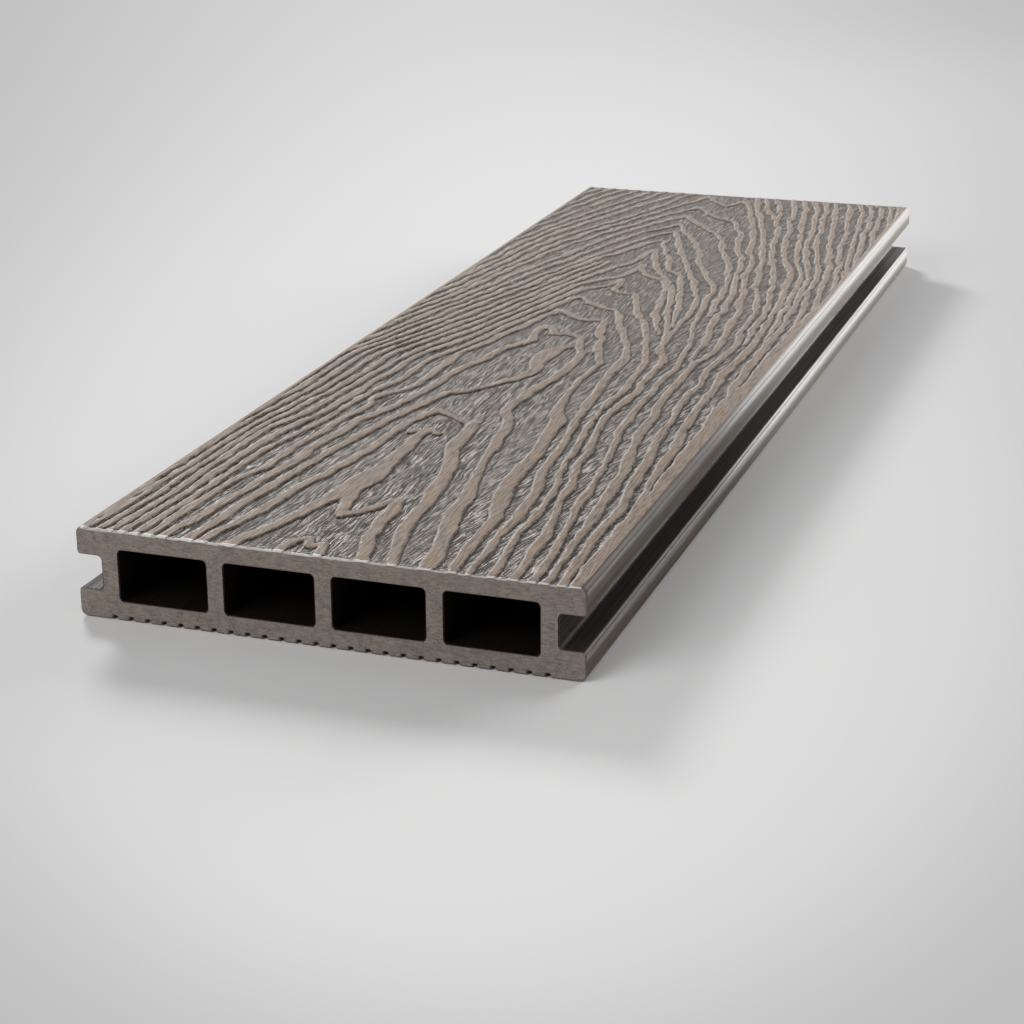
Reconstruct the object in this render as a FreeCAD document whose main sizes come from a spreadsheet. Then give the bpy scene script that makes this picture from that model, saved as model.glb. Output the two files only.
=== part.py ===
import FreeCAD, Part
import os

import Sketcher
from FreeCAD import Vector

# A hollow decking board: one extruded length of wood-plastic, sawn square at both ends.
# It has four chambers along its whole length, a clip slot in each long side, and fine
# grooves along its underside. X runs across the board, Y along it and Z up. The origin is
# under the middle of the board, on the plane that the underside rests on.

# Driving sizes in millimetres, with what each one measures.
sizes = {
    "board_length": (450.0, "sawn end to sawn end"),
    "board_width": (140.0, "over the two long sides"),
    "board_thickness": (25.0, "underside to tread face"),
    "edge_radius": (1.8, "rounding of the four outer long edges"),
    "chamber_count": (4, "chambers side by side"),
    "top_wall": (5.4, "tread face to chamber roof"),
    "bottom_wall": (5.3, "underside to chamber floor"),
    "side_wall": (5.1, "back of a clip slot to the first chamber"),
    "web_wall": (5.1, "upright wall between two chambers"),
    "chamber_radius": (1.3, "rounding inside the chamber corners"),
    "slot_depth": (7.0, "long side to the back of the clip slot"),
    "slot_height": (9.4, "opening of the clip slot"),
    "top_lip": (7.7, "tread face to the roof of the clip slot"),
    "slot_radius": (1.2, "rounding at the back of the clip slot"),
    "lip_radius": (1.0, "rounding of the lips at the slot's mouth"),
    "groove_width": (1.25, "width of an underside groove"),
    "groove_depth": (1.0, "depth of an underside groove"),
    "groove_pitch": (4.8, "one underside groove to the next"),
    "groove_margin": (10.0, "least distance from a long side to an outer groove"),
}

doc = FreeCAD.newDocument("DeckBoard")


# The sheet of sizes, which every sketch and feature is bound to

sheet = doc.addObject("Spreadsheet::Sheet", "Sizes")
for row, (name, (value, meaning)) in enumerate(sizes.items(), start=1):
    sheet.set(f"A{row}", name)
    sheet.set(f"B{row}", str(value))
    sheet.setAlias(f"B{row}", name)
    sheet.set(f"C{row}", meaning)
doc.recompute()


def size(name):
    return sizes[name][0]


body = doc.addObject("PartDesign::Body", "DeckBoard")
body.Label = "deck_board"


def origin_feature(role):
    return next(item for item in body.Origin.OriginFeatures if item.Role == role)


# A sketch on the upright plane across the middle of the board.
def section_sketch(name):
    sketch = body.newObject("Sketcher::SketchObject", name)
    sketch.AttachmentSupport = (origin_feature("XZ_Plane"), [""])
    sketch.MapMode = "FlatFace"
    return sketch


# A closed run of straight sides through the corners, in order.
def add_sides(sketch, corners):
    count = len(corners)
    for index, (x, z) in enumerate(corners):
        next_x, next_z = corners[(index + 1) % count]
        sketch.addGeometry(Part.LineSegment(Vector(x, z, 0), Vector(next_x, next_z, 0)))
    for index in range(count):
        sketch.addConstraint(Sketcher.Constraint("Coincident", index, 2, (index + 1) % count, 1))


# A named dimension from the start of one side to the start of another, bound to the sheet.
def add_dimension(sketch, kind, name, first_side, second_side, expression):
    start = sketch.getPoint(first_side, 1)
    end = sketch.getPoint(second_side, 1)
    gap = end.x - start.x if kind == "DistanceX" else end.y - start.y
    constraint = Sketcher.Constraint(kind, first_side, 1, second_side, 1, gap)
    index = sketch.addConstraint(constraint)
    sketch.renameConstraint(index, name)
    sketch.setExpression(f"Constraints.{name}", expression)


# The outline of the section: the board with its two clip slots

half_width = size("board_width") / 2
slot_back = half_width - size("slot_depth")
slot_roof = size("board_thickness") - size("top_lip")
slot_floor = slot_roof - size("slot_height")

right_corners = [
    (half_width, 0),
    (half_width, slot_floor),
    (slot_back, slot_floor),
    (slot_back, slot_roof),
    (half_width, slot_roof),
    (half_width, size("board_thickness")),
]
left_corners = [(-x, z) for x, z in reversed(right_corners)]

outline = section_sketch("OutlineSketch")
add_sides(outline, right_corners + left_corners)

# Each side is numbered by the corner that it starts at, round from the lower right.
UPRIGHT_SIDES = (0, 2, 4, 6, 8, 10)
LEVEL_SIDES = (1, 3, 7, 9)
TREAD_SIDE = len(right_corners) - 1
UNDERSIDE = len(right_corners + left_corners) - 1
for side in UPRIGHT_SIDES:
    outline.addConstraint(Sketcher.Constraint("Vertical", side))
for side in LEVEL_SIDES:
    outline.addConstraint(Sketcher.Constraint("Horizontal", side))
for side in (TREAD_SIDE, UNDERSIDE):
    outline.addConstraint(Sketcher.Constraint("Symmetric", side, 1, side, 2, -2))
outline.addConstraint(Sketcher.Constraint("PointOnObject", UNDERSIDE, 1, -1))

add_dimension(outline, "DistanceX", "underside_width", 11, 0, "Sizes.board_width")
add_dimension(outline, "DistanceX", "tread_width", 6, 5, "Sizes.board_width")
add_dimension(outline, "DistanceY", "thickness", 0, 5, "Sizes.board_thickness")
add_dimension(outline, "DistanceX", "right_slot_depth", 2, 1, "Sizes.slot_depth")
add_dimension(outline, "DistanceY", "right_slot_height", 2, 3, "Sizes.slot_height")
add_dimension(outline, "DistanceY", "right_top_lip", 4, 5, "Sizes.top_lip")
add_dimension(outline, "DistanceX", "left_slot_depth", 7, 8, "Sizes.slot_depth")
add_dimension(outline, "DistanceY", "left_slot_height", 9, 8, "Sizes.slot_height")
add_dimension(outline, "DistanceY", "left_top_lip", 7, 6, "Sizes.top_lip")

board = body.newObject("PartDesign::Pad", "Board")
board.Profile = outline
board.SideType = "Symmetric"
board.setExpression("Length", "Sizes.board_length")
body.Tip = board
doc.recompute()
outline_volume = board.Shape.Volume


# A rectangular pocket along the whole board, repeated across it from left to right

# The left, foot, width and height of the first pocket are expressions of the sheet's sizes.
def add_row_of_pockets(name, first_corner, last_corner, bindings, count, spacing):
    left, foot = first_corner
    right, head = last_corner
    sketch = section_sketch(f"{name}Sketch")
    add_sides(sketch, [(left, foot), (right, foot), (right, head), (left, head)])
    for level_side in (0, 2):
        sketch.addConstraint(Sketcher.Constraint("Horizontal", level_side))
    for upright_side in (1, 3):
        sketch.addConstraint(Sketcher.Constraint("Vertical", upright_side))
    add_dimension(sketch, "DistanceX", "width", 0, 1, bindings["width"])
    add_dimension(sketch, "DistanceY", "height", 1, 2, bindings["height"])
    for kind, label, edge in (("DistanceX", "left", left), ("DistanceY", "foot", foot)):
        index = sketch.addConstraint(Sketcher.Constraint(kind, -1, 1, 0, 1, edge))
        sketch.renameConstraint(index, label)
        sketch.setExpression(f"Constraints.{label}", bindings[label])

    pocket = body.newObject("PartDesign::Pocket", name)
    pocket.Profile = sketch
    pocket.Type = "ThroughAll"
    pocket.SideType = "Symmetric"
    body.Tip = pocket
    doc.recompute()

    row_of_pockets = body.newObject("PartDesign::LinearPattern", f"{name}Row")
    row_of_pockets.Originals = [pocket]
    row_of_pockets.Direction = (origin_feature("X_Axis"), [""])
    row_of_pockets.Mode = "Spacing"
    row_of_pockets.setExpression("Offset", spacing)
    row_of_pockets.setExpression("Occurrences", count)
    body.Tip = row_of_pockets
    doc.recompute()
    return row_of_pockets


# The chambers fill what the side walls and the webs between them leave of the width.
chamber_width = (
    size("board_width")
    - 2 * (size("slot_depth") + size("side_wall"))
    - (size("chamber_count") - 1) * size("web_wall")
) / size("chamber_count")
first_chamber_left = -half_width + size("slot_depth") + size("side_wall")
chamber_roof = size("board_thickness") - size("top_wall")

chambers = add_row_of_pockets(
    "Chamber",
    (first_chamber_left, size("bottom_wall")),
    (first_chamber_left + chamber_width, chamber_roof),
    {
        "width": "(Sizes.board_width - 2 * (Sizes.slot_depth + Sizes.side_wall)"
                 " - (Sizes.chamber_count - 1) * Sizes.web_wall) / Sizes.chamber_count",
        "height": "Sizes.board_thickness - Sizes.top_wall - Sizes.bottom_wall",
        "left": "Sizes.slot_depth + Sizes.side_wall - Sizes.board_width / 2",
        "foot": "Sizes.bottom_wall",
    },
    "Sizes.chamber_count",
    "ChamberSketch.Constraints.width + Sizes.web_wall * 1 mm",
)
chambered_volume = chambers.Shape.Volume


# The underside grooves are centred on the board, as many as fit between the two margins.
# Each pocket starts a little below the underside, so that it opens cleanly through it.
groove_span = size("board_width") - 2 * size("groove_margin")
groove_count = int(groove_span / size("groove_pitch")) + 1
first_groove_left = -((groove_count - 1) * size("groove_pitch") + size("groove_width")) / 2
COUNT_OF_GROOVES = (
    "floor((Sizes.board_width - 2 * Sizes.groove_margin) / Sizes.groove_pitch) + 1"
)

grooves = add_row_of_pockets(
    "Groove",
    (first_groove_left, -size("groove_depth")),
    (first_groove_left + size("groove_width"), size("groove_depth")),
    {
        "width": "Sizes.groove_width",
        "height": "2 * Sizes.groove_depth",
        "left": f"-(({COUNT_OF_GROOVES} - 1) * Sizes.groove_pitch + Sizes.groove_width) / 2",
        "foot": "-Sizes.groove_depth",
    },
    COUNT_OF_GROOVES,
    "Sizes.groove_pitch",
)
grooved_volume = grooves.Shape.Volume


# Rounded long edges

PLACE_TOLERANCE = 0.01


# The names of the edges that run along the board at any of the given places in the section.
def long_edges(shape, places):
    names = []
    for index, edge in enumerate(shape.Edges, start=1):
        middle = edge.CenterOfMass
        runs_along = edge.BoundBox.YLength > size("board_length") - PLACE_TOLERANCE
        at_a_place = any(
            abs(abs(middle.x) - x) < PLACE_TOLERANCE and abs(middle.z - z) < PLACE_TOLERANCE
            for x, z in places
        )
        if runs_along and at_a_place:
            names.append(f"Edge{index}")
    return names


# Rounds the long edges at these places, the same on the left and on the right.
def add_rounding(name, places, radius, expected):
    base = body.Tip
    names = long_edges(base.Shape, places)
    if len(names) != expected:
        raise ValueError(f"{name} finds {len(names)} edges, not {expected}")
    rounding = body.newObject("PartDesign::Fillet", name)
    rounding.Base = (base, names)
    rounding.setExpression("Radius", radius)
    body.Tip = rounding
    doc.recompute()


chamber_places = []
for chamber in range(size("chamber_count")):
    chamber_left = first_chamber_left + chamber * (chamber_width + size("web_wall"))
    for x in (chamber_left, chamber_left + chamber_width):
        chamber_places += [(abs(x), size("bottom_wall")), (abs(x), chamber_roof)]

outer_places = [(half_width, 0), (half_width, size("board_thickness"))]
lip_places = [(half_width, slot_floor), (half_width, slot_roof)]
slot_places = [(slot_back, slot_floor), (slot_back, slot_roof)]

add_rounding("ChamberRounding", chamber_places, "Sizes.chamber_radius", len(chamber_places))
add_rounding("OuterRounding", outer_places, "Sizes.edge_radius", 2 * len(outer_places))
add_rounding("LipRounding", lip_places, "Sizes.lip_radius", 2 * len(lip_places))
add_rounding("SlotRounding", slot_places, "Sizes.slot_radius", 2 * len(slot_places))


# Checks before anything is written

for item in doc.Objects:
    if "Invalid" in item.State or "Error" in item.State:
        raise ValueError(f"{item.Name} failed: {item.State}")
if body.Shape.isNull() or not body.Shape.isValid():
    raise ValueError("deck_board has no valid shape")
if not outline_volume > chambered_volume > grooved_volume:
    raise ValueError("a row of pockets cuts nothing")
if len(body.Shape.Solids) != 1:
    raise ValueError("deck_board is not one solid")

os.makedirs("parts", exist_ok=True)
body.Shape.exportStep(f"parts/{body.Label}.step")

SQUARE_MM_PER_SQUARE_CM = 100
section_area = body.Shape.Volume / size("board_length") / SQUARE_MM_PER_SQUARE_CM
box = body.Shape.BoundBox
print(f"deck_board {box.XLength:.2f} x {box.YLength:.2f} x {box.ZLength:.2f} mm")
print(f"section {section_area:.2f} square cm, {groove_count} grooves")
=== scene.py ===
import math

import bpy
import bmesh
import numpy as np
from mathutils import Matrix, Vector


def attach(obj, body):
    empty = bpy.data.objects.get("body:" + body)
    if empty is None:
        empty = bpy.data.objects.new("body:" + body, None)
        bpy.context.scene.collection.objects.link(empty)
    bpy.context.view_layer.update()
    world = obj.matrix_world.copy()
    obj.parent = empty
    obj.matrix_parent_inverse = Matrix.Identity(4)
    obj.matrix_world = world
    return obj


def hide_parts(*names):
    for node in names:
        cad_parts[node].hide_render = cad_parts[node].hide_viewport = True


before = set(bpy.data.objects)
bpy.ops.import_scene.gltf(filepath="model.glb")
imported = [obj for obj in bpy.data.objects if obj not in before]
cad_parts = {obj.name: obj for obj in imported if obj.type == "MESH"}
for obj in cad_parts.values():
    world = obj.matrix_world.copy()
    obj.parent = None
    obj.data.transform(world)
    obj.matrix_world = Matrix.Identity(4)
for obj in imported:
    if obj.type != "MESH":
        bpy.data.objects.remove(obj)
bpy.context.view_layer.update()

# Sizes in the dictionaries are in millimetres unless a note says otherwise.
millimetre = 0.001


# Camera

photoCamera = {
    "place": (0.22412, -0.72190, 0.23250),  # metres
    "turn": 19.2176,     # degrees to the left of straight along the board
    "tilt": 19.8508,     # degrees down
    "roll": -0.3498,
    "lens": 81.15,
}


def makeCamera(settings):
    turn = math.radians(settings["turn"])
    tilt = math.radians(settings["tilt"])
    roll = math.radians(settings["roll"])
    ahead = Vector((-math.sin(turn) * math.cos(tilt), math.cos(turn) * math.cos(tilt), -math.sin(tilt)))
    level = Vector((math.cos(turn), math.sin(turn), 0))
    upright = level.cross(ahead)
    right = math.cos(roll) * level + math.sin(roll) * upright
    top = -math.sin(roll) * level + math.cos(roll) * upright
    data = bpy.data.cameras.new("photoCamera")
    data.lens = settings["lens"]
    data.sensor_width = 36
    data.clip_start = 0.02
    data.clip_end = 30
    camera = bpy.data.objects.new("photoCamera", data)
    rotation = Matrix((right, top, -ahead)).transposed().to_4x4()
    camera.matrix_world = Matrix.Translation(settings["place"]) @ rotation
    bpy.context.scene.collection.objects.link(camera)
    bpy.context.scene.camera = camera


makeCamera(photoCamera)
print("camera ready")


# Wood grain of the tread face. Every line is a growth ring that stands up from the face:
# its width, then places across and along the board, counted from the near end.
# A third number at a place gives the line's width from there on.

grain = {
    "depth": 0.66,                 # from the crests down to the valleys
    "depthSpread": 0.10,           # share of it that varies
    "farShallow": 0.35,            # share that the valleys lose towards the far end
    "shallowFrom": (130, 360),     # where that starts and is full, as in every pair named From
    "crestDip": 0.05,              # how far the crests rise and fall
    "deepest": 0.95,
    "wall": 0.42,                  # how far a crest's side reaches
    "wallSpan": (-0.55, 0.45),     # of that, outside and inside the ring's edge
    "sideSpread": 0.04,            # crests are this much wider beside the middle
    "sideFrom": (12, 32),
    "farSpread": 0.06,             # and in the far half
    "farFrom": (170, 240),
    "plainEdge": 67.6,             # beyond this the face is plain
    "fadeEdge": 68.2,              # and here the relief has run out,
    "fadeReach": 1.4,              # over this distance
    "endShare": 0.45,              # share of the relief that is left at the sawn ends
    "endReach": 3.5,
    "wander": 0.60,                # how far the lines stray from their places
    "fineWander": 0.24,
    "farWander": 0.5,
    "wanderFrom": (150, 280),
    "slip": 1.2,                   # and how far along the board
    "ragged": 0.34,                # how uneven their edges are
    "seed": 41,
}

# the plain band along the right side: along the board, and where the band starts across it
plainBand = [(0, 65.6), (20, 65.3), (40, 64.6), (75, 64.8), (84, 64.3), (110, 64.2), (132, 64), (140, 63.3),
    (150, 62.6), (160, 62.2), (170, 62.8), (178, 64.9), (205, 64.6), (240, 64.6), (262, 65.6), (285, 67.5)]

growthRings = [
    # the small rings at the near end
    (3.0, [(-12.5, 0), (-11.5, 7), (-9, 11.5), (-6, 7.5), (-3.4, 9), (-2, 4), (-1.5, 0)]),
    (3.2, [(-8, 31), (-5, 33.5), (-2, 37.5), (0, 42), (1.6, 46), (3, 42), (4, 37, 4), (4.7, 29.5),
        (5.5, 23), (6.7, 15), (9, 7), (11, 0)]),
    # the ring with the broad plateau
    (3.0, [(-15.5, 103), (-12, 105), (-8.5, 104)]),
    (3.4, [(-12, 105), (-12.2, 98.6), (-11.7, 91), (-12, 80, 4), (-11.5, 70, 6), (-12.5, 60, 8),
        (-14, 50, 7), (-16, 42, 5), (-17.5, 35, 4.4), (-18.5, 30), (-20.5, 20, 4), (-22, 15), (-23.5, 10),
        (-26, 1), (-26.5, 0)]),
    (4.6, [(-13, 51), (-11.5, 45), (-10, 38, 3.6), (-8, 31)]),
    # rings outwards from the middle
    (3.0, [(-34, 0), (-32.8, 10), (-30.5, 20), (-28.9, 30), (-28.3, 40), (-27.2, 50), (-25, 60),
        (-23.3, 70), (-21.7, 85), (-21, 98.5), (-20.5, 105), (-20, 111), (-18.7, 116), (-17.2, 121),
        (-15.5, 126), (-12.2, 123), (-9, 121), (-5.5, 118.5), (-2.8, 116.3, 3.6), (-1.3, 112, 4),
        (-0.5, 106, 4.6), (0.2, 100, 5), (1.1, 91), (4, 83), (6.6, 73, 4.4), (8.6, 60), (9.8, 48),
        (10.8, 38, 3.8), (12.2, 28), (14.2, 18, 3.4), (16.6, 9, 3.2), (18.8, 0)]),
    (3.0, [(-38, 0), (-37.8, 5), (-37.2, 15), (-35.5, 35), (-35, 45), (-34.4, 55), (-32.8, 65), (-31.7, 75),
        (-30.5, 85), (-28.9, 98.5), (-28.3, 105), (-27.2, 112), (-25.5, 119.7), (-23.3, 127.5),
        (-22.2, 133), (-21, 138.5), (-19.4, 142.4), (-16.7, 144.7), (-13.3, 148.5), (-10.5, 153),
        (-7.8, 158.5), (-4.4, 164, 4), (-3, 171), (-2.5, 177), (-4, 184, 5), (-4.6, 189, 6.5), (-4, 196, 7),
        (-2.6, 201, 4), (-1.1, 204)]),
    (3.0, [(-45, 0), (-43.9, 10), (-42.8, 20), (-41.7, 30), (-40.5, 40), (-40, 50), (-38.3, 65),
        (-37.2, 85), (-35.5, 98), (-34.7, 110), (-33.3, 115), (-31.7, 120), (-29.8, 130), (-28, 140),
        (-26.7, 150), (-26.1, 160), (-25, 170), (-24.4, 175), (-22, 180), (-21, 190), (-20, 196),
        (-17, 201), (-14, 208), (-15.5, 215), (-16, 223), (-14.4, 226.5), (-11, 223), (-9.4, 219),
        (-3.3, 218), (0, 215.5), (2.2, 210), (4.4, 204), (6.7, 199), (7.2, 190), (6.7, 175), (5.8, 163),
        (3.9, 149.7, 3.6), (3.6, 141), (3.9, 133), (5.6, 126), (7.8, 120), (9.8, 112), (11.6, 100),
        (12.3, 90, 2.6), (13.7, 80), (16, 70, 3.4), (17.9, 60, 4.4), (19.5, 50), (20.4, 40), (22.5, 30),
        (25, 20, 4.2), (27, 10), (28.2, 0)]),
    (2.6, [(-49.3, 0), (-49, 5), (-48, 35), (-47.2, 45), (-46.1, 52), (-43.3, 60), (-43.7, 65), (-42.2, 85),
        (-41.1, 98.5), (-40.5, 107.5), (-38.9, 116), (-38.3, 125), (-40, 131), (-38.9, 134), (-35.5, 138.5),
        (-33.3, 144), (-31.7, 170), (-31.1, 187.7), (-29.4, 193), (-27.8, 200), (-25.6, 213), (-23.9, 220),
        (-22.2, 226.6), (-21.1, 232), (-20, 237.7), (-18.3, 243), (-16.7, 249), (-13.3, 245.4),
        (-9.4, 241.6), (-5.6, 238.8), (1.1, 239.3), (2.2, 236.6), (3.9, 230), (5.6, 223), (7.8, 216.6),
        (8.9, 210), (10.6, 203), (12.8, 196.6), (14.8, 190), (15, 180, 2.4), (14.9, 170), (15.7, 160, 2.1),
        (16.3, 150, 2.6), (17.5, 140, 3.6), (20, 130, 5.2), (22, 120, 4.8), (23.2, 110, 4.2), (24.9, 100),
        (25.6, 90), (25.9, 80), (26.4, 70), (27.8, 60, 4.8), (29.7, 50, 4.3), (32, 40, 4), (32.4, 30, 3.4),
        (32.8, 20), (33.5, 10, 3), (34.6, 0)]),
    (2.4, [(-53, 0), (-52.5, 5), (-51, 50), (-50.6, 60), (-49.4, 78), (-46.9, 95), (-45.3, 105),
        (-43.9, 125), (-42.8, 135), (-41.7, 140), (-39.4, 150), (-38.3, 170), (-36.7, 182), (-35, 188.8),
        (-32.2, 197.7), (-29.4, 213), (-26.7, 226.6), (-25, 234), (-22.2, 247.7), (-20, 259), (-16.7, 268),
        (-13.3, 264), (-8.9, 260), (-4.4, 256), (1.1, 253), (3.9, 248.8), (6.1, 242), (7.8, 236.6),
        (10.6, 230), (12.8, 224), (15, 217.7), (17.2, 211), (19.2, 204.5), (21.1, 199, 2.9), (21.7, 190),
        (22.2, 180, 2.5), (22.7, 170), (23.5, 160, 2.4), (24.8, 150, 2.8), (25.3, 140, 2.5), (26.4, 130),
        (27.8, 120, 2.4), (29.6, 110), (30.5, 100, 2.8), (31.1, 90, 2.3), (32, 80, 2.7), (33.8, 70, 3),
        (35.6, 60), (36.7, 50, 3.2), (37.5, 40, 2.5), (37.7, 30, 2.2), (38, 20), (38.6, 10), (39.4, 0)]),
    (2.4, [(-56.5, 0), (-56, 5), (-54.5, 50), (-52.2, 95), (-47.8, 120), (-45.5, 150), (-43.3, 180),
        (-37, 200), (-30, 230), (-25.5, 250), (-21.1, 270), (-19.4, 275.7), (-16.7, 281), (-12.2, 285.7),
        (-10, 292), (-9.5, 297), (-8, 291), (-7.2, 282), (-3.3, 277), (1.1, 277), (3.3, 271), (5.6, 264),
        (7.8, 257.7), (10, 252), (13, 245), (15.4, 239), (17.6, 233), (19.6, 227), (21.5, 222), (23.1, 215),
        (24.6, 210), (26.6, 204), (28.4, 197), (29.2, 190), (30, 180), (30.8, 170, 2.6), (30.8, 160, 2.2),
        (30.5, 150), (30.5, 140, 1.9), (31.1, 130), (32.2, 120, 2.2), (34, 110), (35.1, 100, 1.8),
        (35.8, 90), (37, 80, 2), (39, 70, 2.2), (40.3, 60), (41.2, 50), (41.6, 40, 2), (41.9, 30),
        (42.6, 20), (44.2, 10), (45.6, 0)]),
    (2.3, [(-60, 0), (-59.5, 5), (-58, 50), (-56.7, 95), (-52, 120), (-50, 150), (-47, 180), (-41.5, 200),
        (-34, 230), (-29.4, 250), (-24.4, 274.6), (-22.2, 283.4), (-19.4, 290), (-15.6, 295.7), (-11, 302),
        (-8.6, 311), (-7.5, 321), (-6.4, 314), (-4.4, 309), (-1.1, 304.6), (3.3, 301), (6.7, 297),
        (8.9, 291), (10, 284.6), (12.4, 271), (14.6, 260), (16.8, 250), (19.2, 241), (21.6, 235, 2),
        (24.6, 228, 1.5)]),
    (2.2, [(-63.5, 0), (-63, 5), (-61.5, 50), (-60, 95), (-56.7, 120), (-53.3, 150), (-51.7, 180),
        (-46, 200), (-38, 230), (-33.3, 250), (-23.3, 293), (-21.1, 300), (-18.9, 308), (-16.7, 314.6),
        (-13.9, 320), (-12, 330), (-11, 345), (-8.3, 337), (-6.1, 331), (-3.9, 324.6), (-2.2, 318),
        (1.5, 310), (7, 300), (12, 286), (15.6, 272), (17.8, 262), (19.6, 254), (21.6, 247), (24, 239),
        (25.6, 232), (28, 223)]),
    (2.0, [(-67, 0), (-66.5, 5), (-65, 50), (-63.3, 95), (-60, 120), (-57.5, 150), (-56, 180), (-50, 200),
        (-42, 230), (-37.2, 250), (-25.5, 300), (-21, 322)]),
    (2.0, [(-68, 50), (-66.7, 95), (-63.5, 120), (-61.5, 150), (-60.5, 180), (-54, 200), (-46.5, 230),
        (-41.5, 250), (-29.4, 300), (-25, 319)]),
    (2.2, [(-70, 90), (-67, 120), (-65, 150), (-64.4, 180), (-58, 200), (-51, 230), (-46, 250),
        (-33.9, 300), (-29.5, 318), (-26.7, 327), (-23.3, 334.6), (-20, 342), (-17.8, 350), (-15.6, 357),
        (-10.6, 361), (-9.4, 357), (-6.7, 347), (-4.4, 339), (-1.1, 331), (1.1, 322), (3.9, 315.7),
        (9, 310), (11.1, 303), (14.2, 290), (17, 279), (19.5, 270), (21, 262), (22.4, 255),
        (24.4, 246, 1.8), (26.4, 237, 1.4)]),
    (2.1, [(-71, 160), (-67.5, 180), (-62, 200), (-55, 230), (-50, 250), (-37.8, 300), (-30, 328),
        (-22.5, 352), (-20, 360), (-17.8, 365.6), (-14.4, 372), (-11.1, 377), (-8.9, 370), (-5.6, 363),
        (-1.5, 350), (8, 325), (13, 311), (16.8, 301), (18.2, 295), (20.4, 288), (23.2, 280), (25.2, 270),
        (26.4, 260), (26.9, 250), (27.2, 240), (27.9, 230, 2.4), (28.6, 222), (29.2, 213), (31, 206),
        (33.2, 200), (34.5, 191), (34.9, 180, 2.2), (35.2, 170), (35.3, 160), (34.7, 150, 2.6), (33.9, 140),
        (34.5, 130, 2.2), (36, 120), (37.3, 110), (38.9, 100, 2.1), (39.4, 90), (41, 80, 2.4), (42.8, 70),
        (44.1, 60, 2.1), (45.8, 50), (47, 40), (48.6, 32, 3.4), (49, 22, 3.1), (50, 12, 2.4), (50.7, 0)]),
    (2.1, [(-71, 178), (-66, 200), (-59, 230), (-54, 250), (-42.8, 300), (-35.5, 328), (-29.3, 352),
        (-24.4, 368), (-22.2, 373), (-18.9, 379), (-15.6, 385.6), (-12.8, 391), (-10.6, 386.7), (-7.8, 380),
        (-4.4, 373), (-1.1, 366.7), (2.2, 360), (5.5, 350), (13.5, 325), (18.6, 312), (22.2, 304),
        (25, 296), (26.8, 288), (27.9, 277), (29.4, 266), (30.5, 258), (31.7, 250), (33.2, 240),
        (35.6, 230), (37.2, 220), (38.2, 211), (39.4, 201), (40.3, 190, 1.9), (39.8, 180), (39.5, 170),
        (39.7, 160), (40, 150), (40.5, 140, 2.1), (41.3, 130, 2.4), (42.5, 120), (44, 110), (45.8, 100),
        (46.8, 90, 1.8), (47.5, 80), (48.6, 70, 2.1), (49.2, 60, 2.7), (50.6, 50, 2.1), (52, 40),
        (53.3, 30, 2.5), (54.3, 20), (55.1, 10), (55.8, 0)]),
    (2.1, [(-71, 196), (-67.5, 212), (-63, 230), (-58, 250), (-47.2, 300), (-41, 326), (-35.5, 352),
        (-28, 376), (-23.3, 388), (-21.1, 393), (-18.3, 399), (-15.6, 403), (-12.8, 407), (-11.1, 402),
        (-7.8, 396.7), (-3.3, 391), (1.1, 384), (5.6, 379), (9.5, 371), (15.3, 350), (19, 340), (21.9, 332),
        (24.9, 320), (27.6, 311), (29.2, 301), (30.2, 293), (30.9, 286), (31.7, 279), (32.8, 270),
        (34, 262, 1.8), (35.2, 254, 1.3)]),
    (2.2, [(-71, 212), (-67, 230), (-62, 250), (-52.8, 300), (-42.8, 350), (-33.5, 376), (-24.4, 400),
        (-17.5, 415), (-12.8, 423), (-8.9, 418), (-6.1, 412), (-2.2, 408), (1.1, 405.6), (6.7, 401),
        (10, 394), (12.2, 388), (14.4, 382), (20.5, 353), (24.4, 342), (26.4, 332), (28.4, 324),
        (30.2, 315), (31.4, 305), (32.4, 299), (33.9, 292), (34.6, 286), (35.5, 277), (36.4, 270),
        (37.1, 260), (37.3, 253), (38.2, 245), (39.6, 237), (41, 230), (41.8, 222, 2.4), (42, 211, 1.8),
        (42.8, 203, 1.4), (44, 197)]),
    (2.2, [(-71, 222), (-67, 244), (-65.5, 250), (-56, 300), (-47.8, 350), (-31.1, 400), (-19, 433),
        (-15, 443), (-7.8, 435.6), (-3.3, 430), (2.2, 440), (6.7, 431), (8.9, 423), (11.1, 413),
        (14.4, 402), (19, 383), (26.4, 350), (30.1, 336), (32.3, 323), (33.3, 313), (34.6, 306),
        (36.1, 299), (37.3, 292), (38.3, 286), (38.9, 281), (40.3, 274), (41.6, 268), (42.4, 262),
        (43.2, 254, 2.4), (43.9, 247), (45.1, 240), (45.9, 234), (46.8, 228), (47, 220), (47, 213),
        (46.2, 205), (44.9, 198), (45, 190, 2.2), (44.9, 180), (44.8, 170, 2.4), (45.1, 160),
        (46, 150, 2.8), (47, 140, 3.2), (47.5, 130, 2.9), (48.4, 120), (50, 110, 2.4), (51.3, 100, 2.9),
        (53, 90), (54, 80, 3), (54.5, 70), (55.2, 60), (56.2, 50), (57, 40, 2.1), (57.4, 30),
        (58.2, 20, 2.6), (58.9, 10, 2.2), (59.6, 0)]),
    # lines along the right side
    (2.1, [(5, 450), (7.8, 440), (18.9, 400), (31, 350), (34, 336), (36.8, 322), (39, 309), (40.4, 299),
        (42, 294), (43.8, 288), (45, 283), (46.7, 276), (47.7, 269), (48.5, 260), (48.8, 250), (49.7, 241),
        (50.4, 235), (51.5, 228), (52, 221, 2.3), (51.8, 213), (51.2, 205), (50.7, 198), (50.7, 190, 2.4),
        (51.6, 180), (51.7, 170), (51.8, 160), (52, 150), (53, 140, 1.9), (53.7, 130), (54.5, 120, 2.6),
        (56.2, 110), (57, 100, 3.2), (57.6, 90, 2.8), (58.6, 80), (59.5, 70), (60.8, 60, 2.5),
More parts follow.
